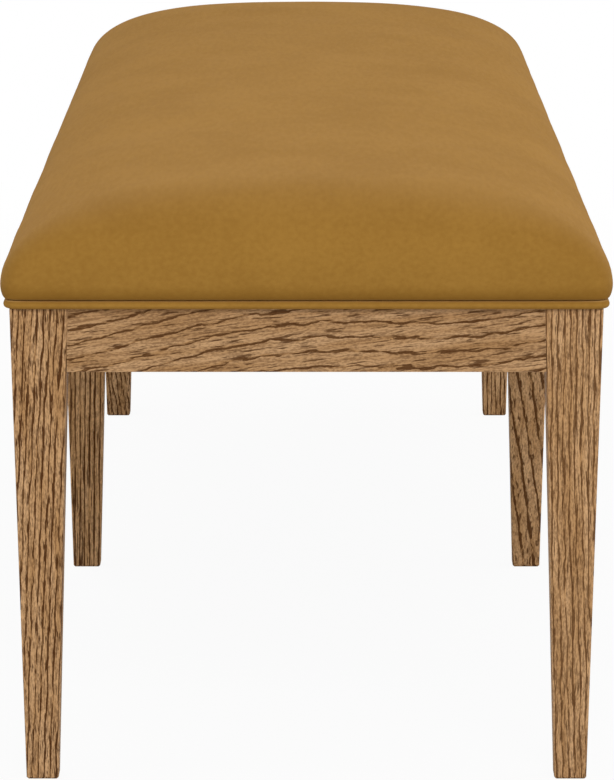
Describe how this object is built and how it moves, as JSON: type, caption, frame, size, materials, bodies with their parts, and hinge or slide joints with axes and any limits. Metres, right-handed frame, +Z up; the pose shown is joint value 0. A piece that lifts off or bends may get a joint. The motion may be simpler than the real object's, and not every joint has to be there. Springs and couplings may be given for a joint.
{
  "type": "upholstered dining bench",
  "caption": "Long upholstered dining bench: crowned velvet seat with a welt, on an oak frame with straight square tapered legs and slim aprons.",
  "frame": {"origin": "centre of the bench on the floor, under the middle of its six feet", "axes": "+X along the length, +Y across to the rear long side, +Z up"},
  "size_m": [1.8174, 0.4744, 0.4612],
  "materials": {
    "oak": "satin oak with open dark pores",
    "block_wood": "plain unfinished softwood",
    "plywood": "unfinished plywood",
    "foam": "cut polyurethane foam",
    "batting": "white polyester batting",
    "velvet": "short-pile gold velvet",
    "cord": "twisted cotton cord",
    "cambric": "black non-woven dust cloth",
    "zinc_steel": "zinc-plated steel"
  },
  "bodies": {
    "root": {"leg_front_left": "oak", "leg_front_middle": "oak", "leg_front_right": "oak", "leg_rear_left": "oak", "leg_rear_middle": "oak", "leg_rear_right": "oak", "end_apron_left": "oak", "end_apron_right": "oak", "side_apron_front_left": "oak", "side_apron_front_right": "oak", "side_apron_rear_left": "oak", "side_apron_rear_right": "oak", "cross_rail": "oak", "corner_block_front_left": "block_wood", "corner_block_front_right": "block_wood", "corner_block_rear_left": "block_wood", "corner_block_rear_right": "block_wood", "corner_block_screws": "zinc_steel", "seat_screws": "zinc_steel", "seat_deck": "plywood", "foam_core": "foam", "batting": "batting", "seat_cover": "velvet", "welt_cover": "velvet", "welt_cord": "cord", "dust_cover": "cambric", "cover_staples": "zinc_steel", "dust_cover_staples": "zinc_steel"}
  },
  "joints": []
}
